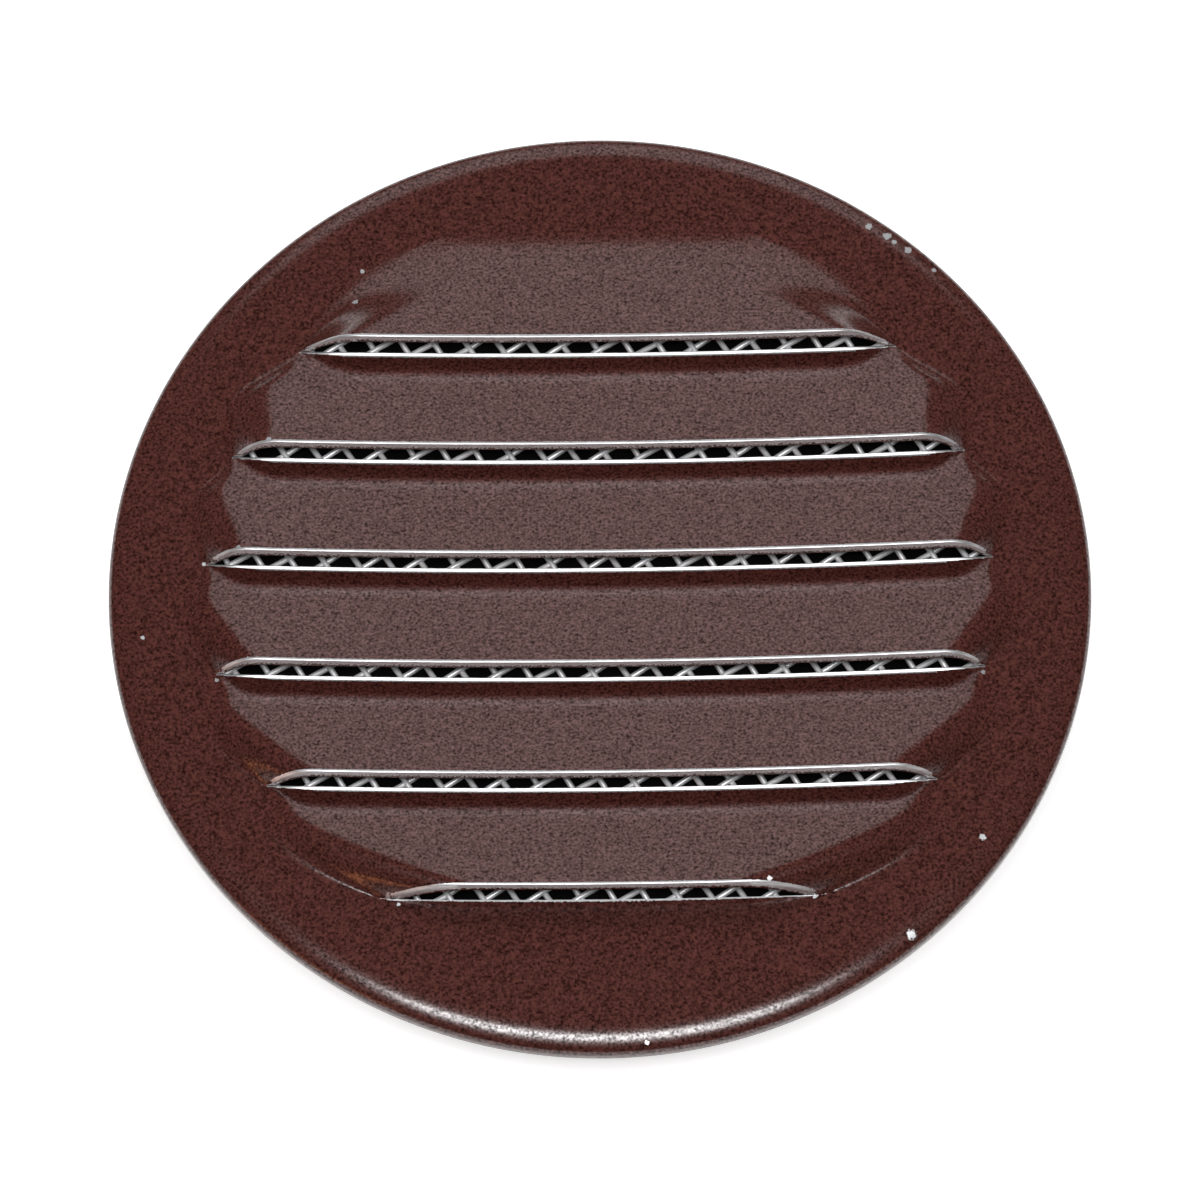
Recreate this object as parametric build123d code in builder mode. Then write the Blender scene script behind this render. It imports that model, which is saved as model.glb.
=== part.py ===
"""Round press-in mini louver for a 2 in hole: stamped face, insect screen and drawn collar.

The face is one painted sheet with six lanced hoods. Its rim rolls round the screen and the
collar's flange and holds all three together. Z is the louver's axis, +Z points outdoors and
+Y is the top edge, so rain runs down the hoods towards -Y. Z = 0 is the wall surface.
"""

import os
from math import atan, cos, hypot, sin, tan

from build123d import *

# Driving sizes, in millimetres: the hole, the sheet and the stack clamped in the rim.
hole_diameter = 50.8
flange_overlap = 3.175
sheet = 0.5
screen_depth = 0.5
hem_clearance = 0.9

# The six slats and their hoods, inside the plain land of the flange.
slit_count = 6
flange_land = 5.625
top_land = 1.45
bottom_land = 3.51
first_slat_extra = 0.225
hood_rise = 2.05
hood_end_run = 1.75
slit_opening = 0.22

# The sleeve that goes into the hole.
collar_depth = 6.35
collar_lip = 1.5

# The weave, drawn coarser than the real wires.
ridge_pitch = 4.25
ridge_width = 0.6
screen_core = 0.2
weave_angle = 31

# Levels from the wall outwards: hem, collar flange, screen, face.
screen_back = 2 * sheet
face_back = screen_back + screen_depth
face_front = face_back + sheet
hood_top = face_front + hood_rise

# The rim's two bends share its height, so one always fits above the other.
rim_radius = hole_diameter / 2 + flange_overlap
shoulder = 0.55 * face_front
hem_bend = 0.38 * face_front
hem_edge = hole_diameter / 2 + hem_clearance

# Each slat runs from a fold down to a slit, and the next slat starts at that slit.
form_radius = rim_radius - flange_land
slit_pitch = (2 * form_radius - top_land - bottom_land - first_slat_extra) / slit_count
slits = [bottom_land - form_radius + slit_pitch * step for step in reversed(range(slit_count))]
folds = [form_radius - top_land] + slits[:-1]

# Each slat's outer skin and the space under it, as closed outlines of Y and Z. The hood's lower
# edge is cut square to the slat, a little above the slit, and the space reaches to the slit.
skin_floor = face_front - sheet / 2
space_floor = face_back - sheet
skin_outlines = []
space_outlines = []
for fold, slit in zip(folds, slits):
    edge = slit + slit_opening
    tilt = atan(hood_rise / (fold - edge))
    inner_fold = fold - sheet * tan(tilt / 2)
    inner_edge = edge - sheet * sin(tilt)
    inner_level = hood_top - sheet * cos(tilt)
    skin_outlines.append(
        [
            (fold, skin_floor),
            (fold, face_front),
            (edge, hood_top),
            (inner_edge, inner_level),
            (inner_edge, skin_floor),
        ]
    )
    space_outlines.append(
        [
            (inner_fold, space_floor),
            (inner_fold, face_back),
            (inner_edge, inner_level),
            (slit, inner_level),
            (slit, space_floor),
        ]
    )

# The closed ends of all six hoods lie on one cone round the louver's axis.
end_slope = hood_end_run / hood_rise
end_wall = sheet * hypot(1, end_slope)


def within_cone(outlines, base_radius, floor):
    """Return the outlines drawn out from side to side and kept within the cone of the ends."""
    with BuildPart() as form:
        with BuildSketch(Plane.YZ):
            for outline in outlines:
                with BuildLine():
                    Polyline(*outline, close=True)
                make_face()
        extrude(amount=form_radius, both=True)

        with BuildSketch(Plane.XZ):
            with BuildLine():
                Polyline(
                    (0, floor),
                    (base_radius + end_slope * (face_front - floor), floor),
                    (base_radius - hood_end_run, hood_top),
                    (0, hood_top),
                    close=True,
                )
            make_face()
        revolve(axis=Axis.Z, mode=Mode.INTERSECT)
    return form.part


hood_skin = within_cone(skin_outlines, form_radius, skin_floor)
hood_space = within_cone(space_outlines, form_radius - end_wall, space_floor)

# Face: flange disc, rolled rim and hem are one turned section, with the hoods raised from it.
with BuildPart() as louver_face:
    with BuildSketch(Plane.XZ):
        with BuildLine():
            Line((0, face_front), (rim_radius - shoulder, face_front))
            RadiusArc((rim_radius - shoulder, face_front), (rim_radius, face_front - shoulder), shoulder)
            Line((rim_radius, face_front - shoulder), (rim_radius, hem_bend))
            RadiusArc((rim_radius, hem_bend), (rim_radius - hem_bend, 0), hem_bend)
            Polyline(
                (rim_radius - hem_bend, 0),
                (hem_edge, 0),
                (hem_edge, sheet),
                (rim_radius - hem_bend, sheet),
            )
            RadiusArc((rim_radius - hem_bend, sheet), (rim_radius - sheet, hem_bend), sheet - hem_bend)
            Line((rim_radius - sheet, hem_bend), (rim_radius - sheet, face_front - shoulder))
            RadiusArc(
                (rim_radius - sheet, face_front - shoulder),
                (rim_radius - shoulder, face_back),
                sheet - shoulder,
            )
            Polyline((rim_radius - shoulder, face_back), (0, face_back), (0, face_front))
        make_face()
    revolve(axis=Axis.Z)
    add(hood_skin)
    add(hood_space, mode=Mode.SUBTRACT)
louver_face.part.label = "louver_face"

# Screen: a thin core with ridges crossing on its two faces and a square gap in each mesh.
screen_radius = rim_radius - shoulder
open_radius = form_radius - end_wall
mesh_count = int(2 * open_radius / ridge_pitch)
weave = Plane.XY.offset(screen_back + screen_depth / 2).rotated((0, 0, weave_angle))
with BuildPart() as insect_screen:
    with BuildSketch(weave):
        Circle(screen_radius)
    extrude(amount=screen_core / 2, both=True)

    with BuildSketch(weave):
        with GridLocations(0, ridge_pitch, 1, mesh_count + 1):
            Rectangle(2 * screen_radius, ridge_width)
        Circle(screen_radius, mode=Mode.INTERSECT)
    extrude(amount=screen_depth / 2)

    with BuildSketch(weave):
        with GridLocations(ridge_pitch, 0, mesh_count + 1, 1):
            Rectangle(ridge_width, 2 * screen_radius)
        Circle(screen_radius, mode=Mode.INTERSECT)
    extrude(amount=-screen_depth / 2)

    with BuildSketch(weave):
        with GridLocations(ridge_pitch, ridge_pitch, mesh_count, mesh_count):
            Rectangle(ridge_pitch - ridge_width, ridge_pitch - ridge_width)
        Circle(open_radius, mode=Mode.INTERSECT)
    extrude(amount=screen_depth, both=True, mode=Mode.SUBTRACT)
insect_screen.part.label = "insect_screen"

# Collar: drawn sleeve with a front flange under the screen and a lead-in lip at its back end.
sleeve_radius = hole_diameter / 2
with BuildPart() as collar:
    with BuildSketch(Plane.XZ):
        with BuildLine():
            FilletPolyline(
                (rim_radius - hem_bend, sheet),
                (sleeve_radius, sheet),
                (sleeve_radius, -collar_depth),
                (sleeve_radius - collar_lip, -collar_depth),
                radius=sheet,
            )
            offset(amount=sheet, side=Side.RIGHT)
        make_face()
    revolve(axis=Axis.Z)
collar.part.label = "collar"

os.makedirs("parts", exist_ok=True)
for piece in (louver_face, insect_screen, collar):
    export_step(piece.part, f"parts/{piece.part.label}.step")
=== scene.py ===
"""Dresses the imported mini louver: a painted stamped face, a woven wire screen and a drawn collar."""

import math

import bmesh
import bpy
import numpy as np
from bpy.props import FloatProperty, FloatVectorProperty, IntProperty, PointerProperty
from mathutils import Matrix, Vector


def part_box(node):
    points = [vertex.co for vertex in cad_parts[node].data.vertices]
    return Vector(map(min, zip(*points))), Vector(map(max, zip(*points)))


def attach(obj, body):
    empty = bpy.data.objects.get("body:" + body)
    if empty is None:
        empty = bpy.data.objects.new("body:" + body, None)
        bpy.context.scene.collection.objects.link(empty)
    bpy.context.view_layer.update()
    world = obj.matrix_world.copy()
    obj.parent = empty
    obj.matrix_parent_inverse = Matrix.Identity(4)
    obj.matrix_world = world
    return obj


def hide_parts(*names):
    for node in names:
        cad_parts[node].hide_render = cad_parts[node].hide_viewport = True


bl_info = {
    "name": "Mini louver",
    "version": (1, 0, 0),
    "blender": (4, 5, 0),
    "location": "View3D > Sidebar > Mini louver",
    "description": "Builds a round press-in louver with lanced hoods, a woven screen and a drawn collar",
    "category": "Object",
}

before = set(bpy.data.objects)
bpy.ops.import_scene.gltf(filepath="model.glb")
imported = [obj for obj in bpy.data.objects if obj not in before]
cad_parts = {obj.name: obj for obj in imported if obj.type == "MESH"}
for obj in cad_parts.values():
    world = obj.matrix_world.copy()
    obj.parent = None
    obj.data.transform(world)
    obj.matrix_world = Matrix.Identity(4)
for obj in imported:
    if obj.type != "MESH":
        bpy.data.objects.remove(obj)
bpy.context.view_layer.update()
FACE_LOW, FACE_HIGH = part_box("louver_face")
SCREEN_LOW, SCREEN_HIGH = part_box("insect_screen")
COLLAR_LOW, COLLAR_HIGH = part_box("collar")

MM = 0.001
WELD = 1e-7


def linear(hex_colour):
    """Turn an sRGB hex colour into the linear values that Blender's sockets take."""
    channels = [int(hex_colour[i : i + 2], 16) / 255 for i in (1, 3, 5)]
    return [c / 12.92 if c <= 0.04045 else ((c + 0.055) / 1.055) ** 2.4 for c in channels]


def length(name, description, millimetres):
    """A length property whose default is written in millimetres."""
    return FloatProperty(
        name=name, description=description, default=millimetres * MM, unit="LENGTH", precision=5
    )


def angle_size(name, description, degrees):
    """An angle property whose default is written in degrees."""
    return FloatProperty(name=name, description=description, default=math.radians(degrees), subtype="ANGLE")


def colour(name, description, hex_colour):
    """A colour property whose default is written as sRGB hex."""
    return FloatVectorProperty(
        name=name, description=description, default=linear(hex_colour), subtype="COLOR", size=3, min=0, max=1
    )


class LouverFaceSizes(bpy.types.PropertyGroup):
    """Sizes of the stamped face."""

    sheet: length("Sheet", "Thickness of the painted sheet", 0.5)
    flange_land: length("Flange land", "Plain flange between the rim and the hood ends", 5.625)
    fold_drop: length("Fold drop", "From the form circle's top down to the first fold", 1.45)
    slit_rise: length("Slit rise", "From the form circle's bottom up to the last slit", 3.51)
    first_extra: length("First slat extra", "How much longer the first slat is than the others", 0.225)
    slat_count: IntProperty(name="Slats", description="Number of slats", default=6, min=1)
    hood_rise: length("Hood rise", "Height of a hood's lower edge above the flange", 2.05)
    end_run: length("Hood end run", "How far a hood's closed end slopes inwards", 1.75)
    slit_opening: length("Slit opening", "How far a hood's edge draws back from its slit", 0.22)
    slit_bow: length("Slit bow", "Sag of a slit over 20 mm either side of its middle", 0.39)
    burr_width: length("Burr width", "Width of the bare burr along a slat's sheared top edge", 0.21)
    burr_height: length("Burr height", "Height of that burr above the slat", 0.1)
    crown_radius: length("Crown radius", "Radius of the flange where it starts to turn down", 3.25)
    crown_reach: length("Crown reach", "How far in from the rim that turn starts", 1.735)
    crown_turn: angle_size("Crown turn", "Slope where the tight edge begins", 25)
    hem_clearance: length("Hem clearance", "From the collar's outside to the hem's edge", 0.9)


class LouverScreenSizes(bpy.types.PropertyGroup):
    """Sizes of the woven screen."""

    # Real wire is about 0.28 mm; it is drawn thicker so that it shows through the slits.
    wire: length("Wire", "Diameter of the screen's wire", 0.35)
    warp_pitch: length("Warp pitch", "Spacing of 18 wires to the inch", 25.4 / 18)
    weft_pitch: length("Weft pitch", "Spacing of 16 wires to the inch", 25.4 / 16)
    turn: angle_size("Turn", "How far the weave is turned in the rim", 31.7)


class LouverCollarSizes(bpy.types.PropertyGroup):
    """Sizes of the drawn collar."""

    outside: length("Outside", "Diameter of the sleeve, which fits a 2 in hole", 50.8)
    lip: length("Lip", "How far the back end turns inwards", 1.5)


class LouverColours(bpy.types.PropertyGroup):
    """Colours of the finishes."""

    paint: colour("Paint", "Brown coil coating", "#4B2722")
    bare: colour("Bare aluminium", "Sheared edges, chips and wire", "#F0F0F2")
    mill: colour("Mill aluminium", "Drawn collar", "#C3C5C8")
    paper: colour("Paper", "Floor under the louver", "#F4F4F4")
    # The card's near-black is painted shade for the dark space behind the slots.
    card: colour("Card", "Dark card behind the slots", "#161616")


def add_node(tree, kind, inputs=None, **settings):
    """Add a node with its settings; each input takes a value or a link from another socket."""
    node = tree.nodes.new(kind)
    for name, value in settings.items():
        setattr(node, name, value)
    for name, value in (inputs or {}).items():
        if isinstance(value, bpy.types.NodeSocket):
            tree.links.new(value, node.inputs[name])
        else:
            node.inputs[name].default_value = value
    return node


def new_material(name):
    """Return an empty node material, its tree and its output node."""
    material = bpy.data.materials.new(name)
    material.use_nodes = True
    material.node_tree.nodes.clear()
    output = add_node(material.node_tree, "ShaderNodeOutputMaterial")
    return material, material.node_tree, output


def rgba(values):
    """Add full alpha to a colour."""
    return (*values, 1.0)


# Places on the face where the paint is chipped: across, up and radius, in millimetres.
CHIP_SPOTS = [
    (16.1, 22.5, 0.2),
    (17.2, 21.9, 0.24),
    (17.6, 21.5, 0.15),
    (18.4, 21.0, 0.22),
    (19.9, 19.7, 0.14),
    (17.6, -21.7, 0.28),
    (21.8, -15.9, 0.18),
    (-14.2, 17.8, 0.16),
    (-13.8, 19.9, 0.13),
    (-15.1, 14.8, 0.12),
    (-14.2, 14.8, 0.14),
    (-5.6, 14.6, 0.11),
    (-19.2, 8.5, 0.14),
    (-20.9, 1.7, 0.17),
    (-23.0, 1.45, 0.13),
    (-20.3, -5.2, 0.15),
    (-22.2, -5.8, 0.12),
    (22.1, -5.8, 0.12),
    (-12.3, -19.2, 0.14),
    (-11.7, -19.6, 0.11),
    (9.5, -18.9, 0.14),
    (12.1, -19.4, 0.13),
    (-26.5, -3.1, 0.12),
    (2.4, -28.0, 0.13),
]


def painted_sheet_material(colours):
    """Brown coil coating on aluminium sheet: a satin skin, with bright metal where sheared or chipped."""
    material, tree, output = new_material("brown_coil_coated_aluminium")
    place = add_node(tree, "ShaderNodeTexCoord").outputs["Object"]

    # Rolled coil coating has a fine grain; real grain is near 0.05 mm and is drawn at 0.16 mm to show.
    grain = add_node(tree, "ShaderNodeTexNoise", {"Vector": place, "Scale": 1 / (0.16 * MM), "Detail": 2.0})
    shade = add_node(
        tree,
        "ShaderNodeMapRange",
        {"Value": grain.outputs["Fac"], "From Min": 0.3, "From Max": 0.7, "To Min": 0.25, "To Max": 1.75},
    )
    gloss = add_node(
        tree, "ShaderNodeMath", {0: shade.outputs["Result"], 1: 0.62}, operation="MULTIPLY"
    ).outputs[0]
    tint = add_node(
        tree,
        "ShaderNodeVectorMath",
        {0: colours.paint, "Scale": shade.outputs["Result"]},
        operation="SCALE",
    )

    # Ragged tears about 0.12 mm across break up the edge between paint and metal.
    tear = add_node(tree, "ShaderNodeTexNoise", {"Vector": place, "Scale": 1 / (0.12 * MM), "Detail": 3.0})
    ragged = add_node(
        tree, "ShaderNodeMapRange", {"Value": tear.outputs["Fac"], "To Min": -0.45, "To Max": 0.45}
    ).outputs["Result"]
    flat = add_node(
        tree, "ShaderNodeVectorMath", {0: place, 1: (1.0, 1.0, 0.0)}, operation="MULTIPLY"
    ).outputs[0]
    worn = add_node(tree, "ShaderNodeAttribute", attribute_name="bare").outputs["Fac"]
    for across, up, radius in CHIP_SPOTS:
        spot = (across * MM, up * MM, 0.0)
        reach = add_node(
            tree, "ShaderNodeVectorMath", {0: flat, 1: spot}, operation="DISTANCE"
        ).outputs["Value"]
        chip = add_node(
            tree,
            "ShaderNodeMapRange",
            {"Value": reach, "From Min": 0.0, "From Max": 2 * radius * MM, "To Min": 1.0, "To Max": 0.0},
        ).outputs["Result"]
        worn = add_node(tree, "ShaderNodeMath", {0: worn, 1: chip}, operation="MAXIMUM").outputs[0]
    torn = add_node(tree, "ShaderNodeMath", {0: worn, 1: ragged}, operation="ADD").outputs[0]
    metal = add_node(
        tree,
        "ShaderNodeMapRange",
        {"Value": torn, "From Min": 0.45, "From Max": 0.6},
        interpolation_type="SMOOTHSTEP",
    ).outputs["Result"]

    # Sockets 6, 7 and 2 of a mix are its two colours and its colour result.
    skin = add_node(
        tree,
        "ShaderNodeMix",
        {"Factor": metal, 6: tint.outputs[0], 7: rgba(colours.bare)},
        data_type="RGBA",
    ).outputs[2]
    roughness = add_node(
        tree, "ShaderNodeMapRange", {"Value": metal, "To Min": 0.2, "To Max": 0.5}
    ).outputs["Result"]

    # Orange peel about 0.6 mm across keeps highlights soft along the rim.
    peel = add_node(tree, "ShaderNodeTexNoise", {"Vector": place, "Scale": 1 / (0.6 * MM), "Detail": 1.0})
    bump = add_node(
        tree, "ShaderNodeBump", {"Height": peel.outputs["Fac"], "Strength": 0.15, "Distance": 0.02 * MM}
    )
    shader = add_node(
        tree,
        "ShaderNodeBsdfPrincipled",
        {
            "Base Color": skin,
            "Metallic": metal,
            "Roughness": roughness,
            "Specular IOR Level": gloss,
            "Normal": bump.outputs["Normal"],
        },
    )
    tree.links.new(shader.outputs["BSDF"], output.inputs["Surface"])
    return material


def screen_wire_material(colours):
    """Drawn aluminium wire under a thin pale oxide: white glints where light falls, dark elsewhere."""
    material, tree, output = new_material("drawn_aluminium_wire")
    place = add_node(tree, "ShaderNodeTexCoord").outputs["Object"]
    # The oxide dulls the wire in patches about 0.8 mm long.
    dull = add_node(tree, "ShaderNodeTexNoise", {"Vector": place, "Scale": 1 / (0.8 * MM), "Detail": 2.0})
    roughness = add_node(
        tree, "ShaderNodeMapRange", {"Value": dull.outputs["Fac"], "To Min": 0.32, "To Max": 0.46}
    )
    shader = add_node(
        tree,
        "ShaderNodeBsdfPrincipled",
        {"Base Color": rgba(colours.bare), "Metallic": 0.4, "Roughness": roughness.outputs["Result"]},
    )
    tree.links.new(shader.outputs["BSDF"], output.inputs["Surface"])
    return material


def mill_sheet_material(colours):
    """Mill-finish aluminium, drawn in a press: soft grey with fine streaks up the wall."""
    material, tree, output = new_material("mill_finish_drawn_aluminium")
    place = add_node(tree, "ShaderNodeTexCoord").outputs["Object"]
    # Draw marks run along the sleeve: about 0.4 mm apart round it and 12 mm long.
    streaks = add_node(
        tree, "ShaderNodeMapping", {"Vector": place, "Scale": (1 / (0.4 * MM), 1 / (0.4 * MM), 1 / (12 * MM))}
    )
    grain = add_node(
        tree, "ShaderNodeTexNoise", {"Vector": streaks.outputs["Vector"], "Scale": 1.0, "Detail": 4.0}
    )
    roughness = add_node(
        tree, "ShaderNodeMapRange", {"Value": grain.outputs["Fac"], "To Min": 0.26, "To Max": 0.48}
    )
    bump = add_node(
        tree, "ShaderNodeBump", {"Height": grain.outputs["Fac"], "Strength": 0.2, "Distance": 0.01 * MM}
    )
    shader = add_node(
        tree,
        "ShaderNodeBsdfPrincipled",
        {
            "Base Color": rgba(colours.mill),
            "Metallic": 1.0,
            "Roughness": roughness.outputs["Result"],
            "Normal": bump.outputs["Normal"],
        },
    )
    tree.links.new(shader.outputs["BSDF"], output.inputs["Surface"])
    return material


def paper_material(colours):
    """Matte white paper sweep: seen as white, while the louver still shades it."""
    material, tree, output = new_material("matte_white_paper")
    rays = add_node(tree, "ShaderNodeLightPath")
    seen = add_node(
        tree,
        "ShaderNodeMath",
        {0: rays.outputs["Is Camera Ray"], 1: rays.outputs["Is Glossy Ray"]},
        operation="MAXIMUM",
    ).outputs[0]
    seen = add_node(
        tree, "ShaderNodeMath", {0: seen, 1: rays.outputs["Is Transmission Ray"]}, operation="MAXIMUM"
    ).outputs[0]
    # The lamps light the paper part of the way, and this glow takes it to white.
    glow = add_node(tree, "ShaderNodeMath", {0: seen, 1: 0.6}, operation="MULTIPLY").outputs[0]
    shader = add_node(
        tree,
        "ShaderNodeBsdfPrincipled",
        {
            "Base Color": rgba(colours.paper),
            "Roughness": 0.9,
            "Emission Color": rgba((1.0, 1.0, 1.0)),
            "Emission Strength": glow,
        },
    )
    tree.links.new(shader.outputs["BSDF"], output.inputs["Surface"])
    return material


def shade_card_material(colours):
    """Matte black card that paints shade: it keeps the slots dark behind the bright wires, standing for the
    dark space behind a fitted louver.
    """
    material, tree, output = new_material("painted_shade_card")
    shader = add_node(tree, "ShaderNodeBsdfPrincipled", {"Base Color": rgba(colours.card), "Roughness": 0.9})
    tree.links.new(shader.outputs["BSDF"], output.inputs["Surface"])
    return material


def arc(centre, radius, start, end, steps):
    """Points along a circle in a section, from one angle in degrees to another."""
    angles = np.radians(np.linspace(start, end, steps))
    return [(centre[0] + radius * math.cos(a), centre[1] + radius * math.sin(a)) for a in angles]


def mesh_object(name, points, faces, material, crisp=None, bareness=None):
    """Make a welded, smooth-shaded object, crisp at edges past an angle, with bare metal marked."""
    mesh = bpy.data.meshes.new(name)
    mesh.from_pydata(points, [], faces)
    if bareness is not None:
        attribute = mesh.attributes.new("bare", "FLOAT", "POINT")
        attribute.data.foreach_set("value", np.array(bareness, dtype=np.float32))
    work = bmesh.new()
    work.from_mesh(mesh)
    bmesh.ops.remove_doubles(work, verts=work.verts, dist=WELD)
    bmesh.ops.dissolve_degenerate(work, edges=work.edges, dist=WELD)
    bmesh.ops.recalc_face_normals(work, faces=work.faces)
    work.to_mesh(mesh)
    work.free()
    mesh.shade_smooth()
    if crisp is not None:
        mesh.set_sharp_from_angle(angle=math.radians(crisp))
    mesh.materials.append(material)
    obj = bpy.data.objects.new(name, mesh)
    bpy.context.scene.collection.objects.link(obj)
    return obj


def smooth_min(a, b, blend):
    """The lower of two heights, rounded over where they meet."""
    mix = np.clip(0.5 + 0.5 * (b - a) / blend, 0, 1)
    return b * (1 - mix) + a * mix - blend * mix * (1 - mix)


def smooth_max(a, b, blend):
    """The higher of two heights, rounded where they meet."""
    return -smooth_min(-a, -b, blend)


class FaceForm:
    """The stamped face as rows of front and back points, band by band from the top."""

    # Columns across a slat and rows down it: burr, body and, this far above the hood's edge, the lip.
    END_STEPS = 14
    OUTER_STEPS = 14
    MIDDLE_STEPS = 60
    CAP_ROWS = 8
    BURR_ROWS = 7
    BODY_ROWS = 15
    LIP_ROWS = np.array([0.22, 0.11, 0.05, 0.0]) * MM
    BURR_CLEAR = 0.16 * MM
    LIP_CLEAR = 0.3 * MM

    # The press rounds the fold and spreads the foot of the closed ends.
    FOLD_BLEND = 0.35 * MM
    FOOT_BLEND = 0.5 * MM
    LEAST_BLEND = 0.02 * MM
    FOOT_SPREAD = 1.2 * MM
    FIRST_SPREAD = 0.95 * MM
    FOOT_ROOM = 2 * MM
    WIDEST_END = 2 * MM
    BOW_REACH = 20 * MM

    # Sheared edges run out towards a slit's tips, and folded edges are slightly round.
    BURR_FADE = 2.5 * MM
    LIP_FADE = 0.9 * MM
    LIP_ROUND = 0.05 * MM
    HEM_ROUND = 0.1 * MM

    # The hem's bend takes this share of the rim's height; closer than the second, points are one.
    HEM_BEND_SHARE = 0.38
    NEAR = 1e-6

    def __init__(self, sizes, rim_radius, front):
        self.sizes = sizes
        self.rim = rim_radius
        self.front = front
        self.form = rim_radius - sizes.flange_land
        self.grid = self.form + self.FOOT_ROOM
        spare = sizes.fold_drop + sizes.slit_rise + sizes.first_extra
        pitch = (2 * self.form - spare) / sizes.slat_count
        last = sizes.slit_rise - self.form
        slits = [last + pitch * step for step in reversed(range(sizes.slat_count))]
        tips = [slit + self.bow(0, slit) for slit in slits]
        self.lines = [self.form - sizes.fold_drop] + tips

    def half_chord(self, radius, y):
        """Half the width of a circle at a height."""
        return np.sqrt(np.maximum(radius**2 - y**2, 0))

    def end_width(self, y):
        """How wide a hood's closed end is along a slit at that height."""
        corner = self.form - self.sizes.end_run
        if abs(y) >= corner:
            return self.WIDEST_END
        return self.half_chord(self.form, y) - self.half_chord(corner, y)

    def columns(self, y, end_width):
        """Across positions along one row: outside the tips, up the closed ends and over the slat."""
        edge = self.half_chord(self.grid, y)
        tip = self.half_chord(self.form, y)
        corner = tip - end_width
        middle = np.linspace(-corner, corner, self.MIDDLE_STEPS + 1)
        end = np.linspace(corner, tip, self.END_STEPS + 1)[1:]
        outer = np.linspace(tip, edge, self.OUTER_STEPS + 1)[1:]
        return np.concatenate([-outer[::-1], -end[::-1], middle, end, outer])

    @property
    def tip_columns(self):
        """Column numbers of the two tips of a slit."""
        total = 2 * (self.OUTER_STEPS + self.END_STEPS) + self.MIDDLE_STEPS
        return self.OUTER_STEPS, total - self.OUTER_STEPS

    def bow(self, x, y):
        """Sag of a row: the strips between slits pull down in their middle when they are formed."""
        tip = np.maximum(self.half_chord(self.form, y), self.NEAR)
        reach = np.clip(1 - (x / tip) ** 2, 0, 1)
        return self.sizes.slit_bow * (tip / self.BOW_REACH) ** 2 * reach

    def skin_height(self, x, y, slat, share, first):
        """Height above the flange: the slat's plane rolled into closed ends with a soft foot.

        The share runs from 0 at a slat's fold to 1 at its slit. The foot is widest half way down, or
        at the fold on the first slat, and the ends are gentlest near the fold, where the hood is low.
        """
        grown = np.clip(share / 0.4, 0, 1)
        spread = self.FOOT_SPREAD * np.sin(math.pi * share) * grown**2 * (3 - 2 * grown)
        steep = self.sizes.hood_rise / (self.sizes.end_run + 0.75 * spread)
        steep = steep * np.minimum(0.3 + 2.3 * share, 1)
        if first:
            spread = self.FIRST_SPREAD * (1 - share)
            steep = self.sizes.hood_rise / self.sizes.end_run * (0.25 + 0.75 * share**2)
        wall = (self.form + spread - np.hypot(x, y)) * steep
        foot = np.maximum(self.FOOT_BLEND * np.sin(math.pi * share), self.LEAST_BLEND)
        shoulder = np.maximum(slat * (1 - 0.6 * share**2), self.LEAST_BLEND)
        return np.maximum(smooth_min(slat, smooth_max(wall, 0, foot), shoulder), 0)

    def slat_band(self, number):
        """Front and back points of one slat, with how bare each of them is."""
        sizes = self.sizes
        top, low = self.lines[number], self.lines[number + 1]
        span = top - low
        burr = np.linspace(0, sizes.burr_width, self.BURR_ROWS)
        edge = span - self.LIP_ROWS
        body = np.linspace(sizes.burr_width + self.BURR_CLEAR, edge[0] - self.LIP_CLEAR, self.BODY_ROWS)
        down = np.concatenate([burr, body, edge])

        share = down / span
        widths = self.end_width(top) * (1 - share) + self.end_width(low) * share
        x = np.array([self.columns(top - d, w) for d, w in zip(down, widths)])
        y = np.repeat((top - down)[:, None], x.shape[1], axis=1)
        depth = np.repeat(down[:, None], x.shape[1], axis=1)
        share = depth / span

        slat = sizes.hood_rise * share
        if number == 0:
            slat = smooth_max(slat, np.zeros_like(slat), self.FOLD_BLEND)
        height = self.skin_height(x, y, slat, share, number == 0)

        # Past the tips the sheet is uncut, so neighbouring bands share its flat points there.
        tips = self.half_chord(self.form, y)
        inside = np.abs(x) < tips - self.NEAR
        height[-1] *= inside[-1]
        if number > 0:
            height[0] *= inside[0]

        lift = np.clip(height / sizes.hood_rise, 0, 1)
        sag = self.bow(x, y) * (share if number == 0 else 1.0)
        y_front = y + sizes.slit_opening * lift * share - sag

        tilt = math.atan(sizes.hood_rise / span)
        z_back = height - sizes.sheet * (1 + (1 / math.cos(tilt) - 1) * share * lift)
        y_back = y_front - sizes.sheet * math.sin(tilt) * share**2 * lift

        over = np.clip((tips - np.abs(x)) / self.BURR_FADE, 0, 1)
        bare = np.zeros_like(height)
        if number > 0:
            # The burr stands highest just below the sheared edge and dies away down the slat.
            along = np.clip(depth / sizes.burr_width, 0, 1)
            crest = np.interp(along, [0, 0.15, 0.4, 0.65, 0.85, 1], [0.95, 1, 0.75, 0.4, 0.14, 0])
            height = height + sizes.burr_height * over * crest
            thick = sizes.burr_width * (0.35 + 0.65 * over)
            bare = np.where(depth <= thick, 1.0, 0.0)
        corner_drop = np.clip((depth - edge[1]) / (span - edge[1]), 0, 1)
        height = height - self.LIP_ROUND * corner_drop**2 * inside
        lip = np.clip((tips - np.abs(x)) / self.LIP_FADE, 0, 1)
        bare = np.where((depth >= edge[1]) & inside, lip, bare) * inside

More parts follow.
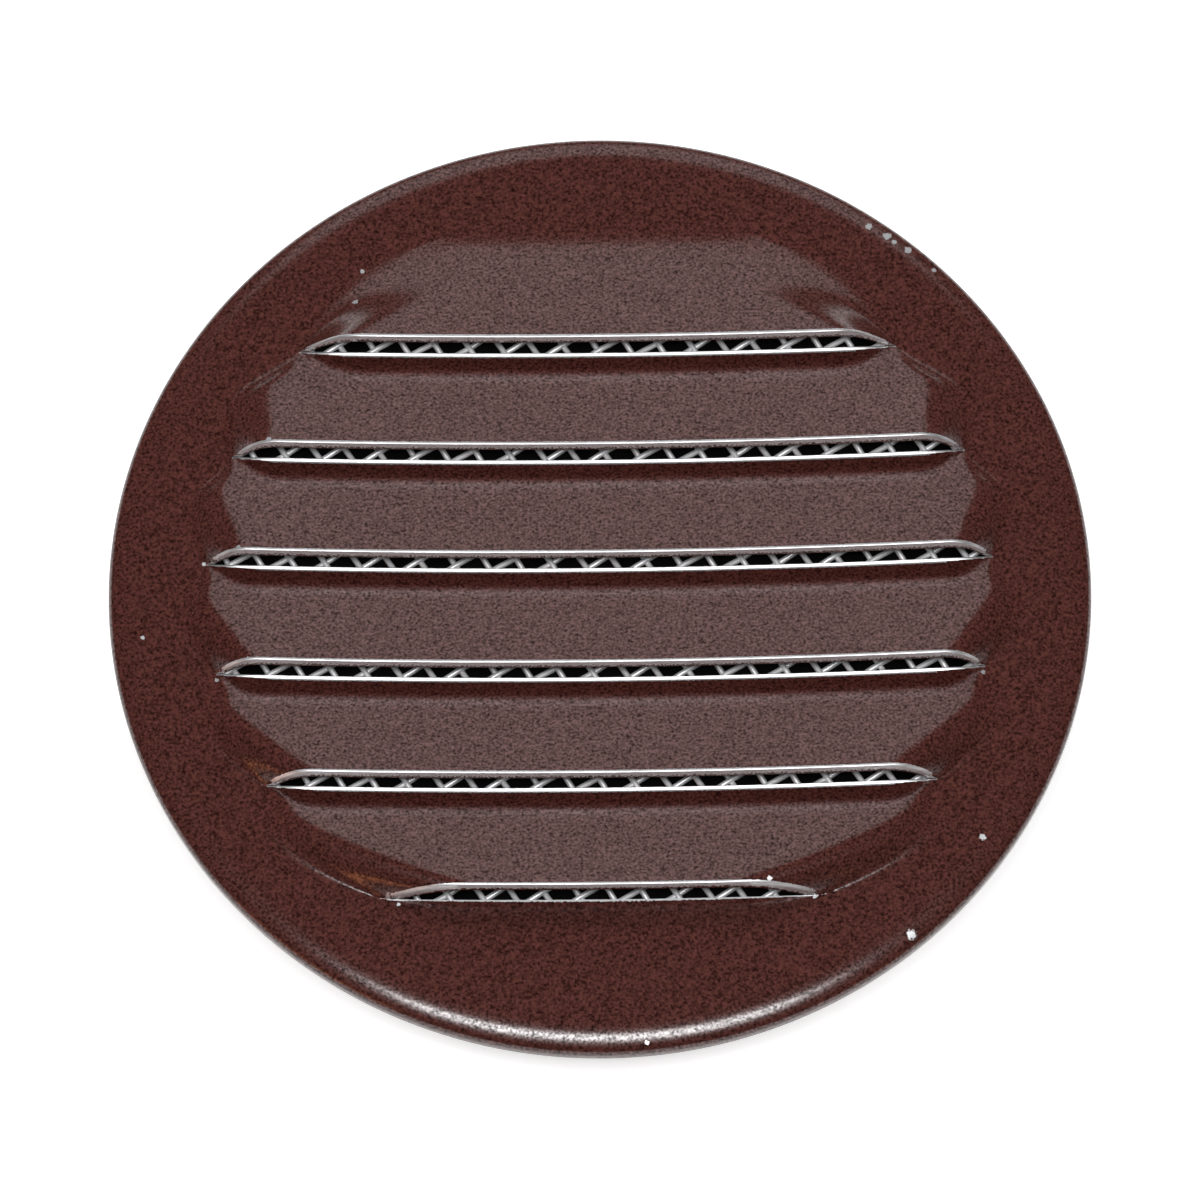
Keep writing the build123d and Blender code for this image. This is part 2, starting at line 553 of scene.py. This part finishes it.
        front = np.stack([x, y_front, self.front + height], -1)
        back = np.stack([x, y_back, self.front + z_back], -1)
        back_bare = np.zeros_like(bare)
        back_bare[-1] = 0.3
        if number > 0:
            back_bare[0] = 1.0
        return front, back, bare, back_bare * inside

    def cap(self, upper):
        """Front and back points of the plain flange above the first fold or below the last slit."""
        sizes = self.sizes
        chord = self.lines[0] if upper else self.lines[-1]
        x = self.columns(chord, self.end_width(chord))
        sign = 1 if upper else -1
        rim = sign * self.half_chord(self.grid, x)
        share = np.linspace(0, 1, self.CAP_ROWS + 1)[:, None] ** 1.5
        x = np.repeat(x[None, :], self.CAP_ROWS + 1, axis=0)
        y = chord + (rim - chord) * share
        height = np.zeros_like(y)
        sag = np.zeros_like(y)
        bare = np.zeros_like(y)
        if upper:
            slope = sizes.hood_rise / (self.lines[0] - self.lines[1])
            slat = smooth_max((chord - y) * slope, np.zeros_like(y), self.FOLD_BLEND)
            height = self.skin_height(x, y, slat, 0.0, True)
        else:
            sag = self.bow(x, np.full_like(y, chord)) * (1 - share)
            inside = np.abs(x) < self.half_chord(self.form, chord) - self.NEAR
            bare[0] = inside[0]
        front = np.stack([x, y - sag, self.front + height], -1)
        back = np.stack([x, y - sag, self.front + height - sizes.sheet], -1)
        return front, back, bare, bare.copy()

    def rim_section(self, hem_edge):
        """Radius and height of the rolled rim, from the flange's front round to its back."""
        sizes = self.sizes
        hem = self.HEM_BEND_SHARE * self.front
        inner = self.front - sizes.sheet
        start = self.rim - sizes.crown_reach
        turn = sizes.crown_turn
        nose = (self.rim - start - sizes.crown_radius * math.sin(turn)) / (1 - math.sin(turn))
        crown_centre = (start, self.front - sizes.crown_radius)
        nose_centre = (self.rim - nose, crown_centre[1] + (sizes.crown_radius - nose) * math.cos(turn))
        slope = 90 - math.degrees(turn)
        flat = np.linspace(self.grid, start, 6)[1:-1]
        section = [(r, self.front) for r in flat]
        section += arc(crown_centre, sizes.crown_radius, 90, slope, 12)
        section += arc(nose_centre, nose, slope, 0, 9)[1:]
        section += arc((self.rim - hem, hem), hem, 0, -90, 9)
        section += [((self.rim - hem + hem_edge) / 2, 0.0)]
        section += arc((hem_edge + self.HEM_ROUND, self.HEM_ROUND), self.HEM_ROUND, -90, -180, 4)
        section += arc((hem_edge + self.HEM_ROUND, sizes.sheet - self.HEM_ROUND), self.HEM_ROUND, 180, 90, 4)
        section += arc((self.rim - hem, hem), hem - sizes.sheet, -90, 0, 6)
        section += arc(nose_centre, max(nose - sizes.sheet, self.LEAST_BLEND), 0, slope, 4)
        section += arc(crown_centre, sizes.crown_radius - sizes.sheet, slope, 90, 8)
        section += [(r, inner) for r in flat[::-1]]
        return section

    def rim_loop(self, bands, caps):
        """Angles round the disc's edge where the bands and caps end, clockwise from the top left."""
        top, bottom = caps
        right = [band[row, -1] for band in bands for row in range(len(band))]
        left = [band[row, 0] for band in bands for row in range(len(band))]
        points = list(top[-1]) + right + list(bottom[-1][::-1]) + left[::-1]
        angles = [math.atan2(p[1], p[0]) for p in points]
        kept = [angles[0]]
        for angle in angles[1:]:
            step = abs(angle - kept[-1])
            if self.NEAR < step < 2 * math.pi - self.NEAR:
                kept.append(angle)
        return kept[:-1] if abs(kept[-1] - kept[0]) < self.NEAR else kept

    def build(self, name, hem_edge, material):
        """Make the welded, closed sheet and mark where its metal is bare."""
        patches = [self.slat_band(number) for number in range(self.sizes.slat_count)]
        caps = [self.cap(True), self.cap(False)]
        points, faces, bareness = [], [], []

        def add_grid(grid, bare):
            """Add a grid's points and faces and return its first point, rows and columns."""
            first = len(points)
            rows, cols = grid.shape[:2]
            points.extend(map(tuple, grid.reshape(-1, 3)))
            bareness.extend(bare.reshape(-1))
            for r in range(rows - 1):
                for c in range(cols - 1):
                    a = first + r * cols + c
                    faces.append((a, a + 1, a + cols + 1, a + cols))
            return first, rows, cols

        left, right = self.tip_columns
        for front, back, bare, back_bare in patches + caps:
            front_first, rows, cols = add_grid(front, bare)
            back_first, _, _ = add_grid(back, back_bare)
            for row in (0, rows - 1):
                if back_bare[row].any():
                    for c in range(left, right):
                        a, b = front_first + row * cols + c, back_first + row * cols + c
                        faces.append((a, a + 1, b + 1, b))

        angles = self.rim_loop([p[0] for p in patches], [c[0] for c in caps])
        section = [(self.grid, self.front)]
        section += self.rim_section(hem_edge)
        section += [(self.grid, self.front - self.sizes.sheet)]
        ring = np.array(
            [[(r * math.cos(a), r * math.sin(a), z) for a in angles + angles[:1]] for r, z in section]
        )
        add_grid(ring, np.zeros(ring.shape[:2]))

        faces = [f for f in faces if len({points[i] for i in f}) > 2]
        return mesh_object(name, points, faces, material, crisp=30, bareness=bareness)


def finish_piece(obj, node):
    """Put a piece on the louver's one body in place of its plain solid."""
    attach(obj, "root")
    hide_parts(node)


class LOUVER_OT_painted_face(bpy.types.Operator):
    """Build the stamped and painted face with its lanced hoods and rolled rim"""

    bl_idname = "louver.painted_face"
    bl_label = "Painted face"

    def execute(self, context):
        sizes = context.scene.louver_face
        rim_radius = FACE_HIGH[0]
        front = FACE_HIGH[2] - sizes.hood_rise
        hem_edge = context.scene.louver_collar.outside / 2 + sizes.hem_clearance
        material = painted_sheet_material(context.scene.louver_colours)
        face = FaceForm(sizes, rim_radius, front).build("painted_face", hem_edge, material)
        finish_piece(face, "louver_face")
        return {"FINISHED"}


def woven_wires(count, pitch, cross_pitch, radius, wire, swing, turn, level, phase):
    """Points and faces of one set of parallel wires, each going over and under the other set."""
    sides = 8
    per_crossing = 4
    points, faces = [], []
    along = np.array([math.cos(turn), math.sin(turn), 0])
    across = np.array([-math.sin(turn), math.cos(turn), 0])
    ring = np.linspace(0, 2 * math.pi, sides, endpoint=False)
    for number in range(-count, count + 1):
        offset = number * pitch
        if abs(offset) >= radius - wire:
            continue
        reach = math.sqrt(radius**2 - offset**2)
        steps = max(2, int(2 * reach / cross_pitch * per_crossing))
        u = np.linspace(-reach, reach, steps + 1)
        wave = math.pi * (u / cross_pitch + number + phase)
        rise = swing * np.cos(wave)
        slope = -swing * math.pi / cross_pitch * np.sin(wave)
        first = len(points)
        for position, z, tilt in zip(u, rise, slope):
            centre = along * position + across * offset + np.array([0, 0, level + z])
            up = np.array([0, 0, 1.0]) - along * tilt
            up /= np.linalg.norm(up)
            for a in ring:
                points.append(tuple(centre + 0.5 * wire * (math.cos(a) * across + math.sin(a) * up)))
        for k in range(steps):
            for i in range(sides):
                j = (i + 1) % sides
                a, b = first + k * sides, first + (k + 1) * sides
                faces.append((a + i, a + j, b + j, b + i))
        faces.append(tuple(first + i for i in range(sides)))
        faces.append(tuple(first + steps * sides + i for i in range(sides)))
    return points, faces


class LOUVER_OT_woven_screen(bpy.types.Operator):
    """Weave the insect screen that is clamped behind the face"""

    bl_idname = "louver.woven_screen"
    bl_label = "Woven screen"

    def execute(self, context):
        sizes = context.scene.louver_screen
        radius = SCREEN_HIGH[0] - 0.5 * sizes.wire
        level = 0.5 * (SCREEN_LOW[2] + SCREEN_HIGH[2])
        swing = 0.5 * (SCREEN_HIGH[2] - SCREEN_LOW[2] - sizes.wire)
        count = int(radius / min(sizes.warp_pitch, sizes.weft_pitch)) + 1
        warp_turn, weft_turn = sizes.turn, sizes.turn + math.pi / 2
        warp, warp_faces = woven_wires(
            count, sizes.warp_pitch, sizes.weft_pitch, radius, sizes.wire, swing, warp_turn, level, 0
        )
        weft, weft_faces = woven_wires(
            count, sizes.weft_pitch, sizes.warp_pitch, radius, sizes.wire, swing, weft_turn, level, 1
        )
        shifted = [tuple(i + len(warp) for i in f) for f in weft_faces]
        material = screen_wire_material(context.scene.louver_colours)
        screen = mesh_object("woven_screen", warp + weft, warp_faces + shifted, material)
        finish_piece(screen, "insect_screen")
        return {"FINISHED"}


class LOUVER_OT_drawn_collar(bpy.types.Operator):
    """Turn the drawn collar with its front flange and lead-in lip"""

    bl_idname = "louver.drawn_collar"
    bl_label = "Drawn collar"

    def execute(self, context):
        sheet = context.scene.louver_face.sheet
        sleeve = context.scene.louver_collar.outside / 2
        lip = sleeve - context.scene.louver_collar.lip
        rim = COLLAR_HIGH[0]
        seat = COLLAR_HIGH[2] - sheet
        back = COLLAR_LOW[2]
        edge = 0.08 * MM
        around = 192
        section = arc((rim - edge, seat + edge), edge, 0, -90, 4)
        section += arc((sleeve + sheet, seat - sheet), sheet, 90, 180, 8)
        section += arc((sleeve - sheet, back + sheet), sheet, 0, -90, 8)
        section += arc((lip + edge, back + edge), edge, -90, -180, 4)
        section += arc((lip + edge, back + sheet - edge), edge, 180, 90, 4)
        section += [(sleeve - sheet, back + sheet), (sleeve - sheet, back + sheet + edge)]
        section += arc((sleeve + sheet, seat - sheet), 2 * sheet, 180, 90, 10)
        section += arc((rim - edge, seat + sheet - edge), edge, 90, 0, 4)
        turns = np.linspace(0, 2 * math.pi, around, endpoint=False)
        points = [(r * math.cos(a), r * math.sin(a), z) for a in turns for r, z in section]
        ring = len(section)
        faces = []
        for k in range(around):
            a, b = k * ring, (k + 1) % around * ring
            for i in range(ring):
                j = (i + 1) % ring
                faces.append((a + i, a + j, b + j, b + i))
        material = mill_sheet_material(context.scene.louver_colours)
        collar = mesh_object("drawn_collar", points, faces, material, crisp=40)
        finish_piece(collar, "collar")
        return {"FINISHED"}


def add_area_lamp(name, place, target, size, power, tint=(1.0, 1.0, 1.0), mirrored=True):
    """Hang a soft rectangular lamp that faces a point; one that isn't mirrored leaves no highlight."""
    data = bpy.data.lights.new(name, "AREA")
    data.shape = "RECTANGLE"
    data.size, data.size_y = size
    data.energy = power
    data.color = tint
    lamp = bpy.data.objects.new(name, data)
    lamp.location = place
    lamp.visible_glossy = mirrored
    lamp.rotation_euler = (Vector(target) - Vector(place)).to_track_quat("-Z", "Y").to_euler()
    bpy.context.scene.collection.objects.link(lamp)
    return lamp


def polar(turn, elevation, distance, target):
    """A place seen from the target at a turn from +X and an elevation, both in degrees."""
    a, e = math.radians(turn), math.radians(elevation)
    flat = distance * math.cos(e)
    return Vector(target) + Vector((flat * math.cos(a), flat * math.sin(a), distance * math.sin(e)))


# The photograph's view: degrees round and above the louver, metres away, degrees of roll, the lens
# in millimetres, and how far below the middle of the face it aims.
CAMERA_TURN = -90
CAMERA_ELEVATION = 68.48
CAMERA_DISTANCE = 0.4764
CAMERA_ROLL = -0.61
CAMERA_LENS = 246.2
AIM_DROP = 1.05 * MM

# The stage: a wide floor just clear of the collar, and a black card inside the collar's back end that paints
# the shade behind the slots.
FLOOR_SIZE = 8
STAGE_GAP = 0.05 * MM
CARD_LEVEL = 0.6 * MM
ROOM_LIGHT = 0.05
WARM = (1.0, 0.34, 0.13)


class LOUVER_OT_studio_stage(bpy.types.Operator):
    """Set the paper floor, the lamps and the camera at the photograph's angle"""

    bl_idname = "louver.studio_stage"
    bl_label = "Studio stage"

    def execute(self, context):
        scene = context.scene
        scene.view_settings.view_transform = "Standard"
        colours = scene.louver_colours
        front = FACE_HIGH[2] - scene.louver_face.hood_rise
        centre = Vector((0, 0, front))

        bpy.ops.mesh.primitive_plane_add(size=FLOOR_SIZE, location=(0, 0, COLLAR_LOW[2] - STAGE_GAP))
        floor = context.object
        floor.name = "paper_floor"
        floor.data.materials.append(paper_material(colours))

        # The black card is painted shade: it stands for the dark space that a fitted louver has behind it.
        inside = scene.louver_collar.outside / 2 - scene.louver_face.sheet - STAGE_GAP
        bpy.ops.mesh.primitive_circle_add(
            vertices=96, radius=inside, fill_type="NGON", location=(0, 0, COLLAR_LOW[2] + CARD_LEVEL)
        )
        card = context.object
        card.name = "painted_shade_disc"
        card.data.materials.append(shade_card_material(colours))

        world = bpy.data.worlds.new("studio_room")
        world.use_nodes = True
        background = world.node_tree.nodes["Background"]
        background.inputs["Color"].default_value = rgba((1.0, 1.0, 1.0))
        background.inputs["Strength"].default_value = ROOM_LIGHT
        scene.world = world

        # The softbox gives the slats their sheen, the flash the lower rim's highlight, and the two
        # warm lamps the streaks on the lowest hood ends. The fill only lightens the paint.
        add_area_lamp("top_softbox", polar(90, 33.5, 0.6, centre), centre, (0.46, 0.3), 0.4)
        add_area_lamp("top_fill", polar(90, 47, 0.6, centre), centre, (0.2, 0.1), 1.4, mirrored=False)
        add_area_lamp("front_flash", polar(-91.5, 73.5, 0.5, centre), centre, (0.29, 0.1), 1.68)
        add_area_lamp("warm_left", polar(222, 9, 0.6, centre), centre, (0.3, 0.035), 0.2, WARM)
        add_area_lamp("warm_right", polar(316, 9, 0.6, centre), centre, (0.16, 0.035), 0.03, WARM)

        view = bpy.data.cameras.new("photo_camera")
        view.sensor_width = 36.0
        view.lens = CAMERA_LENS
        view.clip_start = 0.01
        camera = bpy.data.objects.new("photo_camera", view)
        place = polar(CAMERA_TURN, CAMERA_ELEVATION, CAMERA_DISTANCE, centre)
        aim = centre - Vector((0, AIM_DROP, 0))
        turn = (aim - place).to_track_quat("-Z", "Y").to_matrix().to_4x4()
        roll = Matrix.Rotation(math.radians(CAMERA_ROLL), 4, "Z")
        camera.matrix_world = Matrix.Translation(place) @ turn @ roll
        scene.collection.objects.link(camera)
        scene.camera = camera
        return {"FINISHED"}


class LOUVER_PT_sidebar(bpy.types.Panel):
    """Lists the louver's pieces and sizes"""

    bl_label = "Mini louver"
    bl_idname = "LOUVER_PT_sidebar"
    bl_space_type = "VIEW_3D"
    bl_region_type = "UI"
    bl_category = "Mini louver"

    def draw(self, context):
        for operator in OPERATORS:
            self.layout.operator(operator.bl_idname)
        for group in GROUPS:
            settings = getattr(context.scene, group)
            box = self.layout.box()
            for name in settings.bl_rna.properties.keys():
                if name not in ("rna_type", "name"):
                    box.prop(settings, name)


GROUPS = {
    "louver_face": LouverFaceSizes,
    "louver_screen": LouverScreenSizes,
    "louver_collar": LouverCollarSizes,
    "louver_colours": LouverColours,
}
OPERATORS = (
    LOUVER_OT_painted_face,
    LOUVER_OT_woven_screen,
    LOUVER_OT_drawn_collar,
    LOUVER_OT_studio_stage,
)
CLASSES = (*GROUPS.values(), *OPERATORS, LOUVER_PT_sidebar)


def register():
    """Register the classes and give each scene its sizes and colours."""
    for cls in CLASSES:
        bpy.utils.register_class(cls)
    for name, group in GROUPS.items():
        setattr(bpy.types.Scene, name, PointerProperty(type=group))


def unregister():
    """Take the sizes, the colours and the classes away again."""
    for name in GROUPS:
        delattr(bpy.types.Scene, name)
    for cls in reversed(CLASSES):
        bpy.utils.unregister_class(cls)


def main():
    """Register the classes, build every piece in order and set up the stage."""
    register()
    bpy.ops.louver.painted_face()
    bpy.ops.louver.woven_screen()
    bpy.ops.louver.drawn_collar()
    bpy.ops.louver.studio_stage()


if __name__ == "__main__":
    main()
